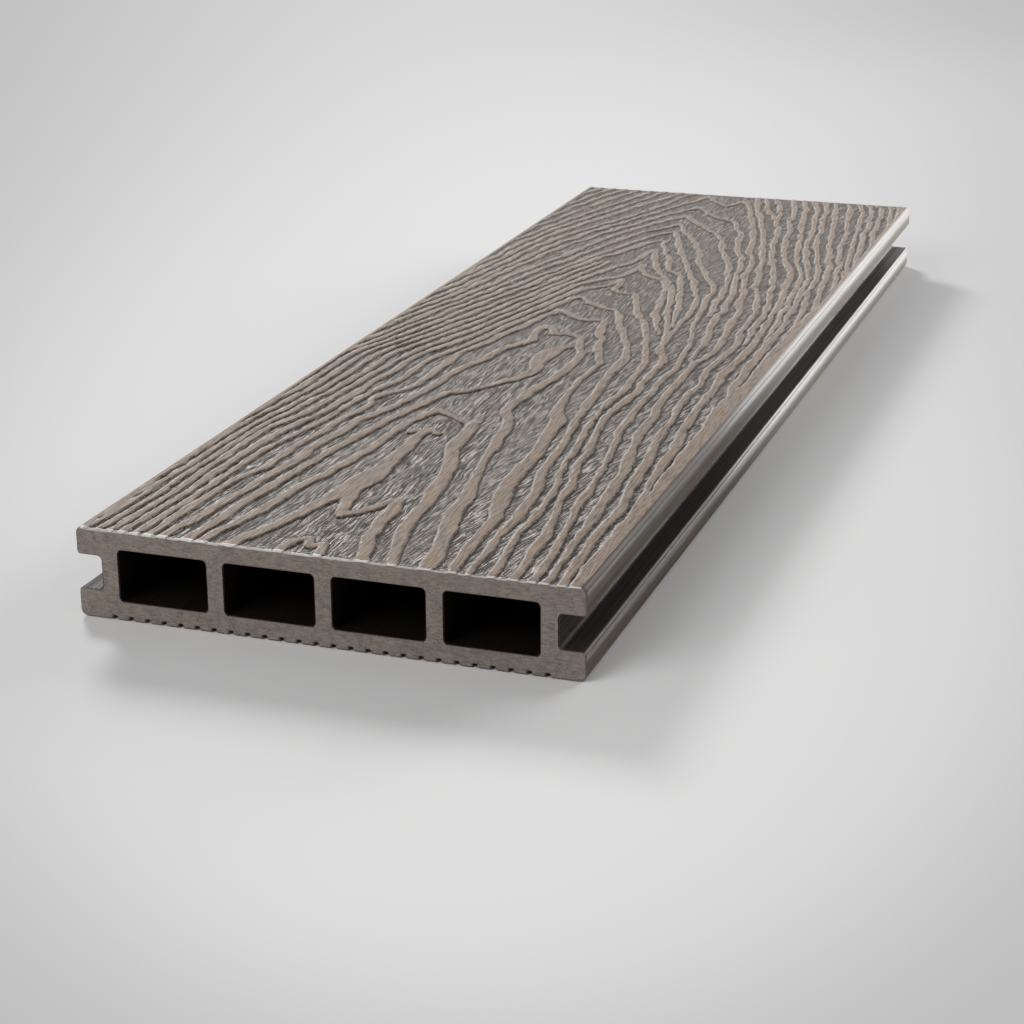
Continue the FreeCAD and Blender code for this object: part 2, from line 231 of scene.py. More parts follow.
        (61.1, 50, 2.7), (61.4, 40), (61.8, 30), (62.7, 20), (63.2, 10), (63.8, 0)]),
    (1.8, [(9, 450), (11.7, 440), (18, 420), (22.6, 409)]),
    (2.1, [(14, 450), (16.7, 440), (25.5, 400), (35, 350), (39.4, 332), (43, 315), (45.6, 302), (47.4, 293),
        (49.2, 284), (50.3, 278), (51.3, 270), (52, 262), (52.2, 254), (52.6, 246), (53.4, 238),
        (53.8, 231, 1.8), (54.3, 224, 1.2)]),
    (2.1, [(20.8, 450), (23.3, 440), (30.5, 400), (39.5, 350), (43.6, 336), (46.8, 326), (48.2, 318),
        (48.9, 310), (50, 304), (51, 299), (51.8, 294), (53.2, 285), (54, 276), (54.6, 268), (55, 260),
        (55.5, 250), (56.3, 240, 2.5), (57, 230, 2.9), (57.1, 220), (57.4, 210), (56.9, 202), (56.5, 192),
        (57, 180, 3), (57.6, 170, 2.6), (57.8, 160), (58, 150), (58.4, 140, 3), (59.3, 130),
        (60.8, 120, 3.4), (61.8, 110, 3), (62, 100), (62.3, 90, 2.6), (63.1, 80, 2.4), (63.9, 71),
        (64.8, 62), (65.6, 45), (66.3, 20), (66.8, 0)]),
    (2.0, [(25.8, 450), (28.3, 440), (35, 400), (44.5, 350), (47.6, 337), (50.9, 326), (52, 319),
        (53.4, 312), (54.3, 304), (54.9, 296), (55.5, 286), (56.5, 277), (57.3, 268), (58.2, 260),
        (58.8, 250), (59.6, 240, 1.7), (60.1, 231, 1.1)]),
    (2.0, [(30.3, 450), (32.8, 440), (39.4, 400), (47.8, 350), (50.8, 340), (52.4, 334), (54.4, 323),
        (55.2, 317), (56.2, 310), (57, 301), (58, 290), (58.9, 281), (60, 270), (60.6, 260), (61.1, 250),
        (61.7, 240, 2.4), (61.8, 230, 2.8), (61.9, 220, 3), (62.3, 211), (62.2, 200), (62.4, 190),
        (62.7, 180), (63.6, 170), (64.6, 160)]),
    (2.0, [(34.5, 450), (37, 440), (42.8, 400), (52, 350), (55.4, 339), (57.4, 330), (58.4, 319),
        (58.9, 312), (59.6, 304), (60.6, 291), (61.7, 284), (63.2, 274), (64.2, 264), (65, 254),
        (65.8, 242), (66.6, 228)]),
    (2.0, [(38.5, 450), (41, 440), (47.8, 400), (56.7, 350), (59.2, 340), (60.4, 332), (61.2, 325),
        (62.2, 318), (62.9, 310), (63.6, 303), (64.5, 295), (65.6, 285), (66.9, 272)]),
    (1.9, [(44.2, 450), (46.7, 440), (53.3, 400), (60.5, 350), (62.8, 340), (64.2, 330), (65.6, 321),
        (67, 312), (68, 300)]),
    (1.9, [(49.5, 450), (52, 440), (57.8, 400), (64, 350), (67.5, 330), (71, 312)]),
    (1.9, [(53.5, 450), (56, 440), (61, 400), (67, 350), (71, 325)]),
    (1.8, [(57.5, 450), (60, 440), (64.4, 400), (67.8, 375), (71, 352)]),
    (1.8, [(61.5, 450), (64, 440), (67.5, 415), (71, 390)]),
    (1.6, [(65, 450), (67.5, 438), (71, 415)]),
    # lines along the left side
    (2.1, [(-22.5, 450), (-25, 440), (-36, 400), (-53, 350), (-60, 300), (-67, 262), (-71, 244)]),
    (2.1, [(-28.5, 450), (-31, 440), (-43.9, 400), (-57.8, 350), (-64, 300), (-67.5, 280), (-71, 262)]),
    (2.0, [(-34.7, 450), (-37.2, 440), (-48.9, 400), (-62, 350), (-67, 300), (-71, 270)]),
    (2.0, [(-40.5, 450), (-43.3, 440), (-54.5, 400), (-66, 350), (-71, 325)]),
    (1.9, [(-47, 450), (-50, 440), (-60, 400), (-67.5, 365), (-71, 345)]),
    (1.9, [(-52.5, 450), (-55.5, 440), (-65, 400), (-71, 372)]),
    (1.9, [(-58, 450), (-61, 440), (-67.5, 412), (-71, 395)]),
    (1.8, [(-63, 450), (-65.5, 440), (-68, 430), (-71, 416)]),
    (1.5, [(-67.6, 5), (-67.2, 30), (-68, 60)]),
]


def softNoise(across, along, acrossStep, alongStep, seed):
    # smooth random waves between -1 and 1, with a new value every step
    random = np.random.default_rng(seed)
    u = (across + 120) / acrossStep
    v = (along + 60) / alongStep
    i = np.floor(u).astype(int)
    j = np.floor(v).astype(int)
    values = random.uniform(-1, 1, (i.max() + 2, j.max() + 2))
    u = u - i
    v = v - j
    u = u * u * (3 - 2 * u)
    v = v * v * (3 - 2 * v)
    here = values[i, j] * (1 - u) + values[i + 1, j] * u
    further = values[i, j + 1] * (1 - u) + values[i + 1, j + 1] * u
    return here * (1 - v) + further * v


def smoothStep(value, start, end):
    share = np.clip((value - start) / (end - start), 0, 1)
    return share * share * (3 - 2 * share)


def smoothLine(points, width):
    # a curve through the places, with a sample every half millimetre
    rows = []
    for point in points:
        if len(point) == 3:
            width = point[2]
        rows.append((point[0], point[1], width))
    places = np.array(rows, dtype=float)
    steps = np.hypot(*np.diff(places[:, :2], axis=0).T)
    passed = np.concatenate([[0], np.cumsum(steps)])
    slopes = np.gradient(places, passed, axis=0)
    wanted = np.arange(0, passed[-1], 0.5)
    k = np.clip(np.searchsorted(passed, wanted, side="right") - 1, 0, len(passed) - 2)
    gap = (passed[k + 1] - passed[k])[:, None]
    t = (wanted - passed[k])[:, None] / gap
    line = (2 * t**3 - 3 * t**2 + 1) * places[k] + (3 * t**2 - 2 * t**3) * places[k + 1]
    line += gap * ((t**3 - 2 * t**2 + t) * slopes[k] + (t**3 - t**2) * slopes[k + 1])
    return line


def ringEdge(across, along):
    # distance in from the nearest line's edge: positive on a crest, negative in a valley
    seed = grain["seed"]
    strayed = across + grain["wander"] * softNoise(across, along, 7, 13, seed)
    strayed += grain["fineWander"] * softNoise(across, along, 3, 5, seed + 1)
    farShare = smoothStep(along, *grain["wanderFrom"])
    strayed += grain["farWander"] * farShare * softNoise(across, along, 3, 6, seed + 5)
    shifted = along + grain["slip"] * softNoise(across, along, 6, 6, seed + 2)
    valleyFloor = -6.0
    inside = np.full(across.shape, valleyFloor)
    columns = across[0]
    rows = along[:, 0]
    reach = 6.5       # more than half of the widest crest and the next valley
    for width, points in growthRings:
        for x, y, w in smoothLine(points, width):
            aside = smoothStep(abs(x), *grain["sideFrom"])
            ahead = smoothStep(y, *grain["farFrom"])
            w *= 1 + max(grain["sideSpread"] * aside, grain["farSpread"] * ahead)
            left, right = np.searchsorted(columns, (x - reach, x + reach))
            low, high = np.searchsorted(rows, (y - reach, y + reach))
            if left == right or low == high:
                continue
            part = (slice(low, high), slice(left, right))
            away = np.hypot(strayed[part] - x, shifted[part] - y)
            np.maximum(inside[part], w / 2 - away, out=inside[part])
    bandPlaces, bandStarts = zip(*plainBand)
    band = strayed - np.interp(along, bandPlaces, bandStarts)
    inside = np.maximum(inside, np.where(along < bandPlaces[-1], band, valleyFloor))
    ragged = softNoise(across, along, 2.2, 4.6, seed + 3) + 0.8 * softNoise(across, along, 1.1, 2.2, seed + 4)
    inside = inside + grain["ragged"] * ragged
    rim = np.abs(across) - grain["plainEdge"]
    return np.maximum(inside, rim * 2)


def treadHeight(across, along, inside):
    # how far the face lies below the crests
    seed = grain["seed"] + 10
    outer, inner = grain["wallSpan"]
    crest = smoothStep(inside, outer * grain["wall"], inner * grain["wall"])
    spread = grain["depthSpread"]
    valley = grain["depth"] * (1 - spread + spread * softNoise(across, along, 9, 22, seed + 2))
    valley *= 1 - grain["farShallow"] * smoothStep(along, *grain["shallowFrom"])
    top = grain["crestDip"] + grain["crestDip"] * softNoise(across, along, 4, 15, seed + 3)
    down = valley * (1 - crest) + top * crest
    fade = smoothStep(grain["fadeEdge"] - np.abs(across), 0, grain["fadeReach"])
    ends = np.minimum(along, board["length"] - along)
    share = grain["endShare"]
    fade = fade * (share + (1 - share) * smoothStep(ends, 0, grain["endReach"]))
    return np.clip(down, 0, grain["deepest"]) * fade


# Board

board = {
    "length": 450,
    "width": 140,
    "thickness": 25,
    "edgeRadius": 1.8,
    "edgePieces": 6,
    "lipRadius": 1.0,
    "slotTop": 17.3,
    "slotBottom": 7.9,
    "slotBack": 63.0,
    "slotRadius": 1.2,
    "cornerPieces": 4,        # of a lip or a slot corner
    "chamberLefts": (-57.9, -27.675, 2.55, 32.775),
    "chamberWidth": 25.125,
    "chamberBottom": 5.3,
    "chamberTop": 19.6,
    "chamberRadius": 1.3,
    "chamberPieces": 5,
    "grooveCount": 26,
    "groovePitch": 4.8,
    "grooveWidth": 1.25,
    "grooveDepth": 1.0,
    "grooveMouth": 0.22,      # rounding of a groove's edges and corners
    "columns": 440,           # mesh columns across the tread face
    "rows": 480,              # mesh rows along it
    "coarseStep": 60,         # rows between two rows of the plain sides
    "mostTriangles": 192000,  # the flat parts of the face are thinned down to this
    "endRounding": (0.36, 0.12),        # how far the sawn rim draws in
    "endPlaces": (0.0, 0.10, 0.42),     # at the first two of these distances from the end
    "ripple": 0.001,          # see outerSkin
}

treadZone, sawnZone, sideZone, slotZone, chamberZone = range(5)


def arc(centreX, centreZ, radius, start, end, pieces):
    angles = [math.radians(start + (end - start) * k / pieces) for k in range(pieces + 1)]
    return [(centreX + radius * math.cos(a), centreZ + radius * math.sin(a)) for a in angles]


def rightSide(b):
    # from the end of the flat tread face, down the right side, to the start of the flat underside
    half = b["width"] / 2
    edge = b["edgeRadius"]
    lip = b["lipRadius"]
    slot = b["slotRadius"]
    slotEnd = b["slotBack"] + slot
    pieces = b["cornerPieces"]
    path = arc(half - edge, b["thickness"] - edge, edge, 90, 0, b["edgePieces"])[1:]
    path += arc(half - lip, b["slotTop"] + lip, lip, 0, -90, pieces)
    path += arc(slotEnd, b["slotTop"] - slot, slot, 90, 180, pieces)
    path += arc(slotEnd, b["slotBottom"] + slot, slot, 180, 270, pieces)
    path += arc(half - lip, b["slotBottom"] - lip, lip, 90, 0, pieces)
    path += arc(half - edge, edge, edge, 0, -90, b["edgePieces"])
    return path


def underside(b):
    # grooves from right to left
    path = []
    mouth = b["grooveMouth"]
    half = b["grooveWidth"] / 2
    top = b["grooveDepth"] - mouth
    for k in reversed(range(b["grooveCount"])):
        middle = (k - (b["grooveCount"] - 1) / 2) * b["groovePitch"]
        path += arc(middle + half + mouth, mouth, mouth, 270, 180, 2)
        path += arc(middle + half - mouth, top, mouth, 0, 90, 2)
        path += arc(middle - half + mouth, top, mouth, 90, 180, 2)
        path += arc(middle - half - mouth, mouth, mouth, 0, -90, 2)
    return path


def chamberLoop(left, b):
    right = left + b["chamberWidth"]
    low = b["chamberBottom"]
    high = b["chamberTop"]
    r = b["chamberRadius"]
    corners = ((left + r, low + r), (right - r, low + r), (right - r, high - r), (left + r, high - r))
    path = []
    for (x, z), start in zip(corners, (180, 270, 0, 90)):
        path += arc(x, z, r, start, start + 90, b["chamberPieces"])
    return path


def inwards(loop, amount):
    # moves a closed clockwise loop's points into its inside
    points = np.array(loop)
    before = points - np.roll(points, 1, axis=0)
    after = np.roll(points, -1, axis=0) - points
    before /= np.linalg.norm(before, axis=1)[:, None]
    after /= np.linalg.norm(after, axis=1)[:, None]
    along = before + after
    along /= np.linalg.norm(along, axis=1)[:, None]
    normal = np.stack([along[:, 1], -along[:, 0]], axis=1)
    spread = np.clip((along * after).sum(axis=1), 0.6, 1)
    return points + normal * (amount / spread)[:, None]


def zoneOf(x, z, b):
    # finish of a lengthwise face, from its place across the section
    nearly = 0.1
    if z > b["thickness"] - 1.2 and x < b["width"] / 2 - b["edgeRadius"] + 0.25:
        return treadZone
    if b["slotBottom"] - nearly < z < b["slotTop"] + nearly and x > b["slotBack"] - nearly:
        return slotZone
    if b["chamberBottom"] - nearly < z < b["chamberTop"] + nearly and x < b["slotBack"] - nearly:
        return chamberZone
    return sideZone


def thinOut(obj, b):
    # fewer triangles where the tread face is flat; its rim and the rest of the board keep theirs
    onFace = obj.vertex_groups.new(name="treadFace")
    low = (b["thickness"] - 1.1) * millimetre
    inner = (b["length"] / 2 - 1) * millimetre
    side = (b["width"] / 2 - b["edgeRadius"] - 0.2) * millimetre
    chosen = [v.index for v in obj.data.vertices
              if v.co.z > low and abs(v.co.y) < inner and abs(v.co.x) < side]
    onFace.add(chosen, 1.0, "REPLACE")
    triangles = sum(len(face.vertices) - 2 for face in obj.data.polygons)
    thinner = obj.modifiers.new("thinOut", "DECIMATE")
    thinner.ratio = min(1.0, b["mostTriangles"] / triangles)
    thinner.vertex_group = onFace.name
    shaped = obj.evaluated_get(bpy.context.evaluated_depsgraph_get())
    dense = obj.data
    obj.data = bpy.data.meshes.new_from_object(shaped)
    obj.data.name = "deckBoard"
    for vertex in obj.data.vertices:
        vertex.co.z = min(vertex.co.z, b["thickness"] * millimetre)
    obj.modifiers.clear()
    obj.vertex_groups.clear()
    bpy.data.meshes.remove(dense)
    print("tread face thinned from", triangles, "triangles")


def meshRows(b):
    # places of the rows along the board, how far each draws in, and the rows that the plain sides have
    first, second, flush = b["endPlaces"]
    near = np.array([first, second])
    middle = np.linspace(flush, b["length"] - flush, b["rows"])
    along = np.concatenate([near, middle, b["length"] - near[::-1]])
    draw = np.zeros(len(along))
    draw[:2] = b["endRounding"]
    draw[-2:] = b["endRounding"][::-1]
    count = len(along)
    coarse = {0, 1, *range(2, count - 2, b["coarseStep"]), count - 3, count - 2, count - 1}
    return along, draw, sorted(coarse)


def addPoint(skin, x, y, z, edge=3.0, side=0.0):
    # a plain face counts as the flat top of a crest
    skin["points"].append((x, y, z))
    skin["ringEdge"].append(edge)
    skin["lightFacing"].append(side)
    return len(skin["points"]) - 1


def outerSkin(skin, b, along, draw, coarseRows):
    # the outline swept along the board: the tread face and its rounded edges have every row,
    # the plain sides only the coarse ones, with fans of triangles between the two
    flat = b["width"] / 2 - b["edgeRadius"]
    across = np.linspace(-flat, flat, b["columns"])
    gridX, gridY = np.meshgrid(across, along)
    inside = ringEdge(gridX, gridY)
    down = treadHeight(gridX, gridY, inside)
    # a tiny ripple keeps the end fill free of slivers, which three corners in a line give
    down += b["ripple"] * (1 + np.sin(1.7 * np.arange(b["columns"])))
    # facing steers the painted highlight and shade on the crests' walls: 1 for a wall that faces the far
    # left, where the key light stands
    slopeY, slopeX = np.gradient(inside, along, across)
    facing = np.clip((slopeX - slopeY) * 0.7, -1, 1)      # 1: towards the far left
    print("grain relief ready")

    side = rightSide(b)
    rest = side + underside(b) + [(-x, z) for x, z in reversed(side)]
    plainLoop = [(x, b["thickness"]) for x in across] + rest
    loops = {0.0: np.array(plainLoop)}
    for amount in b["endRounding"]:
        loops[amount] = inwards(plainLoop, amount)

    topCount = len(across)
    total = topCount + len(rest)
    fineEnd = topCount + b["edgePieces"] - 1        # last column of the right rounded edge
    fineStart = total - b["edgePieces"]             # first column of the left one
    index = -np.ones((len(along), total), dtype=int)
    coarse = set(coarseRows)
    for row, place in enumerate(along):
        loop = loops[draw[row]]
        y = place - b["length"] / 2
        for column in range(total):
            if fineEnd < column < fineStart and row not in coarse:
                continue
            x, z = loop[column]
            if column < topCount:
                index[row, column] = addPoint(skin, x, y, z - down[row, column],
                                              inside[row, column], facing[row, column])
            else:
                index[row, column] = addPoint(skin, x, y, z)

    faces = skin["faces"]
    for column in range(total):
        following = (column + 1) % total
        if column < fineEnd or column >= fineStart:
            for row in range(len(along) - 1):
                faces.append((index[row, column], index[row, following],
                              index[row + 1, following], index[row + 1, column]))
            continue
        for low, high in zip(coarseRows[:-1], coarseRows[1:]):
            if column == fineEnd:
                fine, plain, flip = column, following, False
            elif following == fineStart:
                fine, plain, flip = following, column, True
            else:
                faces.append((index[low, column], index[low, following],
                              index[high, following], index[high, column]))
                continue
            middle = (low + high) // 2
            fan = []
            for row in range(low, high):
                corner = low if row < middle else high
                fan.append((index[row, fine], index[corner, plain], index[row + 1, fine]))
            fan.append((index[middle, fine], index[low, plain], index[high, plain]))
            faces += [face[::-1] for face in fan] if flip else fan


def chamberSkin(skin, left, b, along, draw, coarseRows):
    hole = chamberLoop(left, b)
    rings = []
    for row in coarseRows:
        loop = inwards(hole, draw[row]) if draw[row] else np.array(hole)
        y = along[row] - b["length"] / 2
        rings.append([addPoint(skin, x, y, z) for x, z in loop])
    for ring, after in zip(rings[:-1], rings[1:]):
        for k in range(len(hole)):
            n = (k + 1) % len(hole)
            skin["faces"].append((ring[k], ring[n], after[n], after[k]))


def closeEnds(mesh, b):
    # the sawn ends are filled between the outline and the chambers, and every face gets its finish
    work = bmesh.new()
    work.from_mesh(mesh)
    for y in (-b["length"] / 2, b["length"] / 2):
        level = y * millimetre
        edges = [e for e in work.edges if e.is_boundary
                 and all(abs(v.co.y - level) < 1e-6 for v in e.verts)]
        filled = bmesh.ops.triangle_fill(work, edges=edges, use_beauty=True, use_dissolve=False)
        for piece in filled["geom"]:
            if isinstance(piece, bmesh.types.BMFace):
                piece.material_index = sawnZone
    bmesh.ops.recalc_face_normals(work, faces=work.faces)
    for face in work.faces:
        face.smooth = face.material_index != sawnZone
        if face.smooth:
            middle = face.calc_center_median() / millimetre
            face.material_index = zoneOf(abs(middle.x), middle.z, b)
    work.to_mesh(mesh)
    work.free()


def buildBoard(b):
    along, draw, coarseRows = meshRows(b)
    skin = {"points": [], "faces": [], "ringEdge": [], "lightFacing": []}
    outerSkin(skin, b, along, draw, coarseRows)
    for left in b["chamberLefts"]:
        chamberSkin(skin, left, b, along, draw, coarseRows)
    mesh = bpy.data.meshes.new("deckBoard")
    mesh.from_pydata((np.array(skin["points"]) * millimetre).tolist(), [], skin["faces"])
    for name in ("ringEdge", "lightFacing"):
        attribute = mesh.attributes.new(name, "FLOAT", "POINT")
        attribute.data.foreach_set("value", np.array(skin[name], dtype=np.float32))
    closeEnds(mesh, b)
    obj = bpy.data.objects.new("deckBoard", mesh)
    bpy.context.scene.collection.objects.link(obj)
    thinOut(obj, b)
    shading = obj.modifiers.new("evenNormals", "WEIGHTED_NORMAL")
    shading.mode = "FACE_AREA"
    shading.weight = 50
    shading.keep_sharp = True
    return obj


deckBoard = buildBoard(board)
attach(deckBoard, "root")
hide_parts("deck_board")
print("board mesh ready:", len(deckBoard.data.polygons), "faces")


# Node helpers

def addNode(tree, kind, **values):
    node = tree.nodes.new(kind)
    for name, value in values.items():
        setattr(node, name, value)
    return node


def feed(tree, socket, value):
    if isinstance(value, bpy.types.NodeSocket):
        tree.links.new(value, socket)
    else:
        socket.default_value = value


def feedAll(tree, node, values):
    for name, value in values.items():
        feed(tree, node.inputs[name], value)


def layOut(tree):
    # every node stands one column left of the nodes that it feeds
    last = next(node for node in tree.nodes if not node.outputs)
    columns = {last: 0}
    waiting = [last]
    while waiting:
        node = waiting.pop(0)
        for socket in node.inputs:
            for link in socket.links:
                if columns.get(link.from_node, 0) <= columns[node]:
                    columns[link.from_node] = columns[node] + 1
                    waiting.append(link.from_node)
    filled = {}
    for node, column in columns.items():
        filled[column] = filled.get(column, 0) + 1
        node.location = (-220 * column, -280 * filled[column])


def maths(tree, operation, first, second=0.0):
    node = addNode(tree, "ShaderNodeMath", operation=operation)
    feed(tree, node.inputs[0], first)
    feed(tree, node.inputs[1], second)
    return node.outputs[0]


def times(tree, first, *others):
    for other in others:
        first = maths(tree, "MULTIPLY", first, other)
    return first


def plus(tree, first, *others):
    for other in others:
        first = maths(tree, "ADD", first, other)
    return first


def less(tree, first, second):
    return maths(tree, "SUBTRACT", first, second)


def ramp(tree, value, start, end, low=0.0, high=1.0, kind="SMOOTHSTEP"):
    node = addNode(tree, "ShaderNodeMapRange", interpolation_type=kind)
    feedAll(tree, node, {"Value": value, "From Min": start, "From Max": end, "To Min": low, "To Max": high})
    return node.outputs["Result"]


def hump(tree, value, rise, fall):
    # a mask that rises over one range and falls over the other
    return times(tree, ramp(tree, value, *rise), ramp(tree, value, *fall, 1.0, 0.0))


def blend(tree, share, first, second):
    node = addNode(tree, "ShaderNodeMix", data_type="RGBA")
    feedAll(tree, node, {"Factor": share, "A": first, "B": second})
    return node.outputs["Result"]


def tint(tree, colour, mask, strength, other):
    return blend(tree, times(tree, mask, strength), colour, other)


def noise(tree, vector, scale, detail=2.0, rough=0.5, distortion=0.0):
    node = addNode(tree, "ShaderNodeTexNoise")
    feedAll(tree, node, {"Vector": vector, "Scale": scale, "Detail": detail, "Roughness": rough,
                         "Distortion": distortion})
    return node.outputs["Fac"]


def scaled(tree, vector, amount):
    node = addNode(tree, "ShaderNodeVectorMath", operation="SCALE")
    feed(tree, node.inputs[0], vector)
    feed(tree, node.inputs["Scale"], amount)
    return node.outputs[0]


def turnedBy(tree, vector, degrees):
    # turned about the upright axis
    node = addNode(tree, "ShaderNodeVectorRotate", rotation_type="Z_AXIS")
    feedAll(tree, node, {"Vector": vector, "Angle": math.radians(degrees)})
    return node.outputs[0]


def parts(tree, vector):
    node = addNode(tree, "ShaderNodeSeparateXYZ")
    feed(tree, node.inputs[0], vector)
    return node.outputs


# Effects that several finishes use

def newGroup(name, outputs, **inputs):
    tree = bpy.data.node_groups.new(name, "ShaderNodeTree")
    tree.interface.new_socket("Position", in_out="INPUT", socket_type="NodeSocketVector")
    for label, value in inputs.items():
        socket = tree.interface.new_socket(label, in_out="INPUT", socket_type="NodeSocketFloat")
        socket.default_value = value
    for label in outputs:
        tree.interface.new_socket(label, in_out="OUTPUT", socket_type="NodeSocketFloat")
    return tree, addNode(tree, "NodeGroupInput").outputs, addNode(tree, "NodeGroupOutput").inputs


def placeGroup(tree, group, position, **values):
    node = addNode(tree, "ShaderNodeGroup", node_tree=group)
    feedAll(tree, node, {"Position": position, **values})
    return node.outputs


def alongBoard(tree, given):
    # places squeezed along the board and swayed, so that noise there makes long wavy strokes
    sway = times(tree, less(tree, noise(tree, given["Position"], 0.10), 0.5), given["Sway"])
    x, y, z = parts(tree, given["Position"])
    join = addNode(tree, "ShaderNodeCombineXYZ")
    feed(tree, join.inputs["X"], times(tree, plus(tree, x, sway), given["Across"]))
    feed(tree, join.inputs["Y"], times(tree, y, given["Along"]))
    feed(tree, join.inputs["Z"], times(tree, z, given["Across"]))
    return join.outputs[0]


def makeFibres():
    tree, given, made = newGroup("fibres", ["Streaks"], Across=1.0, Along=0.15, Sway=0.5, Low=0.40, High=0.60)
    strokes = noise(tree, alongBoard(tree, given), 1.0, 2.0, 0.60)
    feed(tree, made["Streaks"], ramp(tree, strokes, given["Low"], given["High"]))
    layOut(tree)
    return tree


def makeThreads():
    # thin even lines that follow the levels of the stretched noise
    tree, given, made = newGroup("threads", ["Threads"], Across=1.2, Along=0.1, Sway=2.0, Turns=14.0)
    level = noise(tree, alongBoard(tree, given), 1.0, 1.0, 0.45)
    wave = maths(tree, "SINE", times(tree, level, given["Turns"]))
    broken = noise(tree, given["Position"], 1.1, 2.0, 0.6)
    wave = plus(tree, wave, ramp(tree, broken, 0.35, 0.65, -0.6, 0.2))
    feed(tree, made["Threads"], ramp(tree, wave, -0.25, 0.75))
    layOut(tree)
    return tree


def makeFlecks():
    # wood flour: small pale and dark grains in the plastic
    tree, given, made = newGroup("woodFlour", ["Pale", "Dark", "Mottle"], Scale=1.0)
    sized = scaled(tree, given["Position"], given["Scale"])
    fine = noise(tree, sized, 1.9, 2.0, 0.6, 0.2)
    coarse = noise(tree, sized, 0.33, 3.0, 0.6, 0.3)
    feed(tree, made["Pale"], ramp(tree, fine, 0.60, 0.72))
    feed(tree, made["Dark"], ramp(tree, fine, 0.40, 0.28))
    feed(tree, made["Mottle"], ramp(tree, coarse, 0.35, 0.65))
    layOut(tree)
    return tree


def makeRimWear():
    # painted highlight: a pale line along an edge, where the gap to it is small, as if the rounded edge
    # caught the light
    tree, given, made = newGroup("rimWear", ["Wear"], Gap=5.0, Reach=0.7)
    uneven = noise(tree, given["Position"], 0.5, 3.0, 0.7)
    near = less(tree, times(tree, uneven, given["Reach"]), given["Gap"])
    feed(tree, made["Wear"], ramp(tree, near, -0.15, 0.2))
    layOut(tree)
    return tree


def endGap(tree, y):
    # distance from the nearer sawn end
    return less(tree, board["length"] / 2, maths(tree, "ABSOLUTE", y))


fibreGroup = makeFibres()
threadGroup = makeThreads()
flourGroup = makeFlecks()
rimHighlightGroup = makeRimWear()
print("effects ready")


# Finishes. Places and distances in them are in millimetres.

def rgb(red, green, blue):
    # screen colour to the linear one that a shader takes
    def linear(value):
        value /= 255
        return value / 12.92 if value <= 0.04045 else ((value + 0.055) / 1.055) ** 2.4
    return (linear(red), linear(green), linear(blue), 1.0)


def startMaterial(name):
    material = bpy.data.materials.new(name)
    material.use_nodes = True
    tree = material.node_tree
    tree.nodes.clear()
    output = addNode(tree, "ShaderNodeOutputMaterial")
    shader = addNode(tree, "ShaderNodeBsdfPrincipled")
    tree.links.new(shader.outputs[0], output.inputs["Surface"])
    coordinates = addNode(tree, "ShaderNodeTexCoord")
    return material, tree, shader, scaled(tree, coordinates.outputs["Object"], 1000.0)


def addBump(tree, shader, height):
    # height is in millimetres
    bump = addNode(tree, "ShaderNodeBump")
    bump.inputs["Strength"].default_value = 1.0
    bump.inputs["Distance"].default_value = 0.001
    feed(tree, bump.inputs["Height"], height)
    feed(tree, shader.inputs["Normal"], bump.outputs[0])


treadFinish = {
    # near end, far end; the far colours are paler and flatter, a painted sheen over the far end
    "crestDark": (rgb(92, 74, 59), rgb(122, 105, 91)),
    "crestLight": (rgb(154, 132, 111), rgb(172, 154, 139)),
    "valleyDark": (rgb(64, 56, 51), rgb(104, 95, 89)),
    "valleyLight": (rgb(236, 226, 219), rgb(190, 180, 172)),
    "farFrom": (-170.0, 110.0),
    # painted shade at the crests' feet, whose colour also darkens the flour flecks; painted highlights on the
    # crests' walls and along the sawn ends
    "foot": rgb(48, 41, 36),
    "highlightTint": rgb(228, 219, 210),
    "paintedHighlight": rgb(244, 240, 234),
    # distances in from a ring's edge
    "crestFrom": (-0.30, 0.20),
    "shoulderFrom": (-0.55, 0.35),
    "footSpan": ((-0.75, -0.25), (-0.20, 0.08)),
    "highlightSpan": ((-0.40, -0.05), (0.15, 0.60)),
    # degrees that the strokes lean to the right, in the middle, at the left and at the right
    "slants": (0, 3, 9),
    "leftFrom": (-12.0, -34.0),
    "rightFrom": (6.0, 30.0),
    "crestLift": 0.75,
    "fibreLift": 0.42,
    "streakLift": 0.10,
    "highlightReach": (-20.0, 45.0, 2.1, 0.8),
}


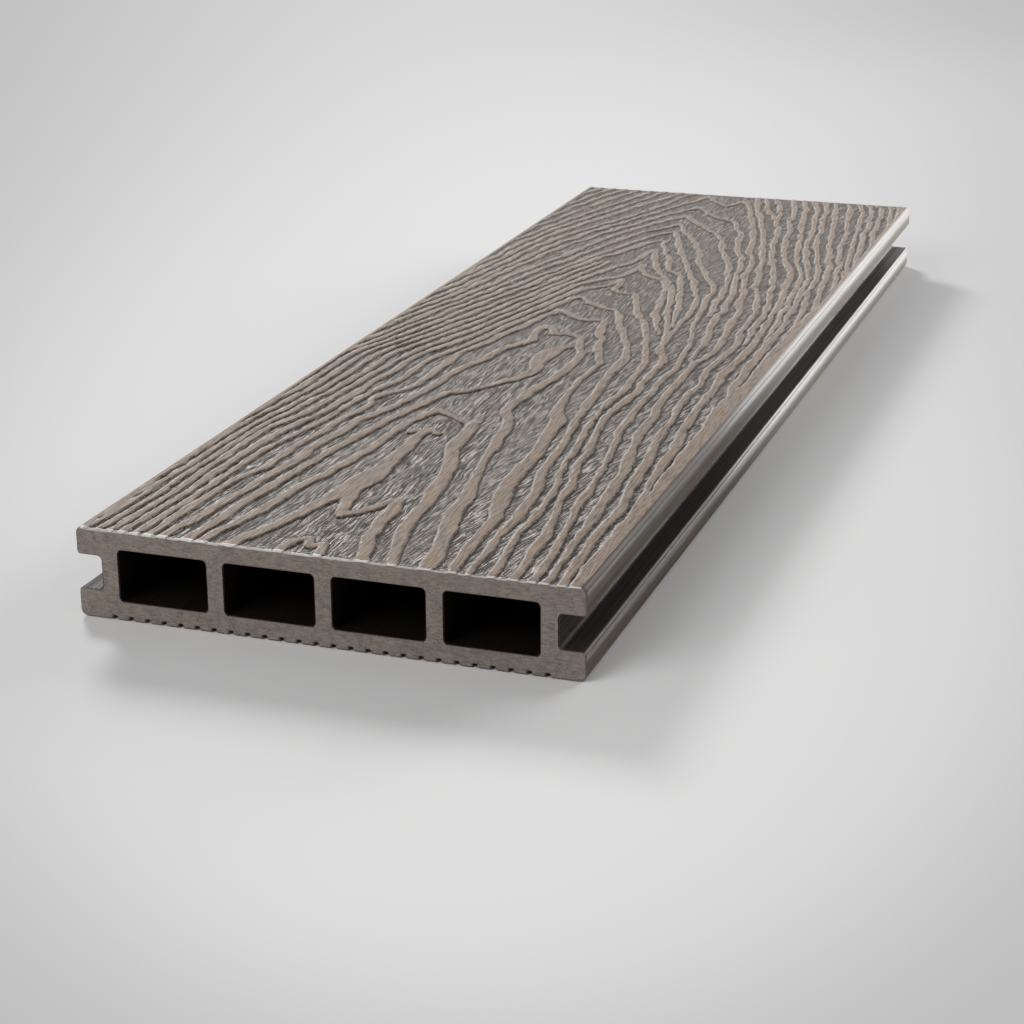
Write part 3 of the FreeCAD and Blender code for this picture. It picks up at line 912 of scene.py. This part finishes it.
def makeTread(f):
    material, tree, shader, position = startMaterial("embossedTread")
    x, y = parts(tree, position)[:2]
    edge = addNode(tree, "ShaderNodeAttribute", attribute_name="ringEdge").outputs["Fac"]
    uneven = less(tree, noise(tree, position, 0.85, 3.0, 0.7, 0.3), 0.5)
    edge = plus(tree, edge, times(tree, uneven, 1.3))
    crest = ramp(tree, edge, *f["crestFrom"])

    # strokes straight along the board in the middle, leaning over at the sides
    left = ramp(tree, x, *f["leftFrom"])
    right = ramp(tree, x, *f["rightFrom"])
    threads = [placeGroup(tree, threadGroup, turnedBy(tree, position, slant), Across=2.1, Along=0.062,
                          Sway=2.4, Turns=25.0)["Threads"] for slant in f["slants"]]
    middle = less(tree, less(tree, 1.0, right), left)
    stroke = plus(tree, times(tree, threads[0], middle), times(tree, threads[1], left),
                  times(tree, threads[2], right))

    fine = placeGroup(tree, fibreGroup, position, Across=2.8, Along=0.14, Sway=1.5, Low=0.32, High=0.62)
    flour = placeGroup(tree, flourGroup, position, Scale=1.3)
    far = ramp(tree, y, *f["farFrom"])
    crestDark, crestLight, valleyDark, valleyLight = [
        blend(tree, far, *f[part]) for part in ("crestDark", "crestLight", "valleyDark", "valleyLight")]
    crestColour = blend(tree, fine["Streaks"], crestDark, crestLight)
    crestColour = tint(tree, crestColour, flour["Dark"], 0.45, f["foot"])
    crestColour = tint(tree, crestColour, flour["Pale"], 0.30, valleyLight)
    colour = blend(tree, crest, blend(tree, stroke, valleyDark, valleyLight), crestColour)

    # the pressed walls get painted light: painted shade at a crest's foot, strongest on its near right, which
    # faces away from the key light, and weaker towards the far end and the left; a painted highlight on its
    # far left, which faces the light
    side = addNode(tree, "ShaderNodeAttribute", attribute_name="lightFacing").outputs["Fac"]
    highlightShare = ramp(tree, side, 0.05, 0.60, 0.0, 0.80)
    shadeShare = times(tree, ramp(tree, side, 0.35, -0.35, 0.15, 0.95), ramp(tree, far, 0.0, 1.0, 1.0, 0.55),
                     ramp(tree, x, -60.0, -5.0, 0.55, 1.0))
    colour = tint(tree, colour, hump(tree, edge, *f["highlightSpan"]), highlightShare, f["highlightTint"])
    colour = tint(tree, colour, hump(tree, edge, *f["footSpan"]), shadeShare, f["foot"])
    # painted highlight along the sawn ends' top edges, stronger towards the left
    rim = placeGroup(tree, rimHighlightGroup, position, Gap=endGap(tree, y), Reach=ramp(tree, x, *f["highlightReach"]))
    feed(tree, shader.inputs["Base Color"], tint(tree, colour, rim["Wear"], 0.95, f["paintedHighlight"]))
    feed(tree, shader.inputs["Roughness"], ramp(tree, crest, 0.0, 1.0, 0.72, 0.58, "LINEAR"))
    shader.inputs["Specular IOR Level"].default_value = 0.22
    addBump(tree, shader, plus(tree, times(tree, stroke, f["fibreLift"], less(tree, 1.0, crest)),
                               times(tree, ramp(tree, edge, *f["shoulderFrom"]), f["crestLift"]),
                               times(tree, fine["Streaks"], f["streakLift"])))
    layOut(tree)
    return material


sawnFinish = {
    "base": rgb(136, 125, 117),
    "dark": rgb(118, 108, 100),
    "pale": rgb(176, 166, 158),
    "speck": rgb(66, 57, 51),
    # painted highlight along the top edge, stronger towards the left
    "paintedHighlight": rgb(236, 231, 225),
    "highlightReach": (-20.0, 45.0, 0.95, 0.35),
}


def makeSawn(f):
    material, tree, shader, position = startMaterial("sawnEnd")
    place = parts(tree, position)
    flour = placeGroup(tree, flourGroup, position, Scale=1.5)
    scuff = placeGroup(tree, fibreGroup, turnedBy(tree, position, 90), Across=2.6, Along=0.45, Sway=1.2,
                       Low=0.36, High=0.64)
    colour = blend(tree, flour["Mottle"], f["dark"], f["base"])
    colour = tint(tree, colour, scuff["Streaks"], 0.30, f["pale"])
    colour = tint(tree, colour, flour["Pale"], 0.40, f["pale"])
    colour = tint(tree, colour, flour["Dark"], 0.60, f["speck"])
    # painted highlight along the top edge
    rim = placeGroup(tree, rimHighlightGroup, position, Gap=less(tree, board["thickness"], place["Z"]),
                     Reach=ramp(tree, place["X"], *f["highlightReach"]))
    feed(tree, shader.inputs["Base Color"], blend(tree, rim["Wear"], colour, f["paintedHighlight"]))
    shader.inputs["Roughness"].default_value = 0.75
    shader.inputs["Specular IOR Level"].default_value = 0.3
    addBump(tree, shader, plus(tree, times(tree, scuff["Streaks"], 0.07), times(tree, flour["Dark"], -0.12)))
    layOut(tree)
    return material


drawnFinishes = {
    # painted shade: the side colours are darkened, as if a board beside them shaded them; all three finishes
    # get a painted highlight along the sawn ends, and the right side a painted sheen on its far half
    "drawnSides": {
        "dark": rgb(66, 57, 49), "light": rgb(100, 88, 77), "line": rgb(44, 37, 32),
        "paintedHighlight": rgb(170, 161, 152), "rough": (0.53, 0.46), "gloss": (0.10, 0.8), "paintedSheen": 0.55,
        "shoulders": ((20.0, 24.0), (2.5, 7.0)),
    },
    # painted shade: the slot's faces are darkened, as shade in the recess would leave them
    "slotFaces": {
        "dark": rgb(34, 28, 23), "light": rgb(50, 42, 35), "line": rgb(22, 18, 15),
        "paintedHighlight": rgb(130, 121, 112), "rough": (0.65, 0.50), "gloss": (0.10, 0.30), "paintedSheen": 0.0,
        "shoulders": (),
    },
    # painted shade: the chambers' walls are near black, as shade deep in the hollows would leave them
    "chamberWalls": {
        "dark": rgb(14, 11, 8), "light": rgb(26, 20, 15), "line": rgb(9, 7, 5),
        "paintedHighlight": rgb(70, 60, 52), "rough": (0.75, 0.60), "gloss": (0.15, 0.15), "paintedSheen": 0.0,
        "shoulders": (),
    },
}


def makeDrawn(name, f):
    # lengthwise faces, with the fine lines that the die draws along them
    material, tree, shader, position = startMaterial(name)
    x, y, z = parts(tree, position)
    lines = placeGroup(tree, fibreGroup, position, Across=1.5, Along=0.012, Sway=0.4, Low=0.32, High=0.68)
    fine = placeGroup(tree, fibreGroup, position, Across=4.0, Along=0.05, Sway=0.4, Low=0.30, High=0.70)
    flour = placeGroup(tree, flourGroup, position, Scale=0.8)
    colour = blend(tree, lines["Streaks"], f["dark"], f["light"])
    colour = tint(tree, colour, fine["Streaks"], 0.35, f["light"])
    colour = tint(tree, colour, flour["Dark"], 0.45, f["line"])
    # painted highlight along the sawn ends
    rim = placeGroup(tree, rimHighlightGroup, position, Gap=endGap(tree, y), Reach=0.8)
    colour = tint(tree, colour, rim["Wear"], 0.35, f["paintedHighlight"])
    # painted sheen: the far half of the right side is paler, as if it reflected light
    paintedSheen = ramp(tree, y, -90.0, 40.0, 0.0, f["paintedSheen"])
    colour = tint(tree, colour, paintedSheen, ramp(tree, x, -10.0, 10.0), f["paintedHighlight"])
    feed(tree, shader.inputs["Base Color"], colour)
    feed(tree, shader.inputs["Roughness"], ramp(tree, lines["Streaks"], 0, 1, *f["rough"], "LINEAR"))
    feed(tree, shader.inputs["Specular IOR Level"], ramp(tree, y, -110.0, 0.0, *f["gloss"]))
    height = plus(tree, times(tree, lines["Streaks"], 0.02), times(tree, fine["Streaks"], 0.01))
    for low, high in f["shoulders"]:
        # the lip's outer face leans in a little towards its top
        lean = ramp(tree, z, low, high, 0.0, high - low, "LINEAR")
        height = plus(tree, height, times(tree, lean, lean, -0.10))
    addBump(tree, shader, height)
    layOut(tree)
    return material


# in the order of the zones
deckBoard.data.materials.append(makeTread(treadFinish))
deckBoard.data.materials.append(makeSawn(sawnFinish))
for finishName, finishValues in drawnFinishes.items():
    deckBoard.data.materials.append(makeDrawn(finishName, finishValues))
print("finishes ready")


# Floor and light

studio = {
    "floorSize": 16.0,                # metres
    "floorLevel": -0.0002,            # metres
    "floorPale": rgb(245, 245, 245),
    # floorGrey is painted shade, floorFar the tone of a painted glow
    "floorGrey": rgb(215, 214, 216),
    "floorFar": rgb(190, 190, 191),
    "fanStretch": 1.142,              # the pale fan's depth against its width
    "fanMiddle": 0.465,               # how steeply the camera looks down on its middle
    "fanStart": 250.0,                # in front of the camera
    "greyFrom": (0.13, 0.42),         # away from the fan's middle
    "farFrom": (0.20, 0.42),
    "farReach": (1200.0, 2600.0),     # from the board, in any direction
    "skyLevel": 0.21,
    "skyTint": (1.0, 0.99, 0.98, 1.0),
}


def makeFloor(s):
    size = s["floorSize"] / 2
    level = s["floorLevel"]
    mesh = bpy.data.meshes.new("studioFloor")
    corners = [(-size, -size, level), (size, -size, level), (size, size, level), (-size, size, level)]
    mesh.from_pydata(corners, [], [(0, 1, 2, 3)])
    floor = bpy.data.objects.new("studioFloor", mesh)
    bpy.context.scene.collection.objects.link(floor)
    material, tree, shader, position = startMaterial("paleFloor")
    # painted shade: the floor is palest round the board and turns grey away from a fan that opens from its
    # near side, as light that falls off would leave it
    eye = [place / millimetre for place in photoCamera["place"]]
    turn = math.radians(photoCamera["turn"])
    x, y = [less(tree, place, start) for place, start in zip(parts(tree, position), eye[:2])]
    ahead = plus(tree, times(tree, x, -math.sin(turn)), times(tree, y, math.cos(turn)))
    aside = plus(tree, times(tree, x, math.cos(turn)), times(tree, y, math.sin(turn)))
    ahead = maths(tree, "MAXIMUM", ahead, s["fanStart"])
    wide = maths(tree, "DIVIDE", aside, ahead)
    deep = less(tree, maths(tree, "DIVIDE", eye[2] * s["fanStretch"], ahead), s["fanMiddle"])
    away = maths(tree, "SQRT", plus(tree, times(tree, wide, wide), times(tree, deep, deep)))
    tone = blend(tree, ramp(tree, away, *s["greyFrom"]), s["floorPale"], s["floorGrey"])
    # painted glow: further out, where little light reaches, the floor glows in its far tone for the camera
    # instead of showing how it is lit
    reach = addNode(tree, "ShaderNodeVectorMath", operation="LENGTH")
    feed(tree, reach.inputs[0], position)
    out = maths(tree, "MAXIMUM", ramp(tree, away, *s["farFrom"]),
                ramp(tree, reach.outputs["Value"], *s["farReach"]))
    out = times(tree, out, addNode(tree, "ShaderNodeLightPath").outputs["Is Camera Ray"])
    feed(tree, shader.inputs["Base Color"], blend(tree, out, tone, rgb(0, 0, 0)))
    shader.inputs["Emission Color"].default_value = s["floorFar"]
    feed(tree, shader.inputs["Emission Strength"], out)
    shader.inputs["Roughness"].default_value = 0.9
    shader.inputs["Specular IOR Level"].default_value = 0.0
    layOut(tree)
    mesh.materials.append(material)


softboxes = {
    # name: place, aimed at, size across and up in metres, watts
    "keyBox": ((-1.65, 2.05, 1.32), (0, 0.06, 0), (0.6, 0.6), 51),
    "backBox": ((0.80, 3.3, 0.85), (0, 0.05, 0), (2.4, 0.9), 34),
    "stripBox": ((0.42, 0.80, 0.15), (0.07, 0.22, 0.012), (0.35, 0.24), 2.0),
    "fillBox": ((-0.75, -1.35, 0.8), (0, 0, 0), (1.0, 1.0), 9),
    "sideBox": ((1.25, 1.75, 1.0), (0.25, 0.22, 0), (0.9, 0.7), 11.5),
    "frontBox": ((-0.22, -0.60, 0.50), (-0.05, -0.42, 0), (0.4, 0.4), 0.6),
}


def makeLights(boxes):
    for name, (place, target, sizes, watts) in boxes.items():
        data = bpy.data.lights.new(name, "AREA")
        data.shape = "RECTANGLE"
        data.size, data.size_y = sizes
        data.energy = watts
        lamp = bpy.data.objects.new(name, data)
        lamp.location = place
        lamp.rotation_euler = (Vector(target) - Vector(place)).to_track_quat("-Z", "Y").to_euler()
        bpy.context.scene.collection.objects.link(lamp)


def makeSky(s):
    world = bpy.data.worlds.new("studioSky")
    bpy.context.scene.world = world
    world.use_nodes = True
    background = world.node_tree.nodes["Background"]
    background.inputs["Color"].default_value = s["skyTint"]
    background.inputs["Strength"].default_value = s["skyLevel"]


makeFloor(studio)
makeLights(softboxes)
makeSky(studio)
bpy.context.scene.view_settings.view_transform = "Standard"
print("studio ready")
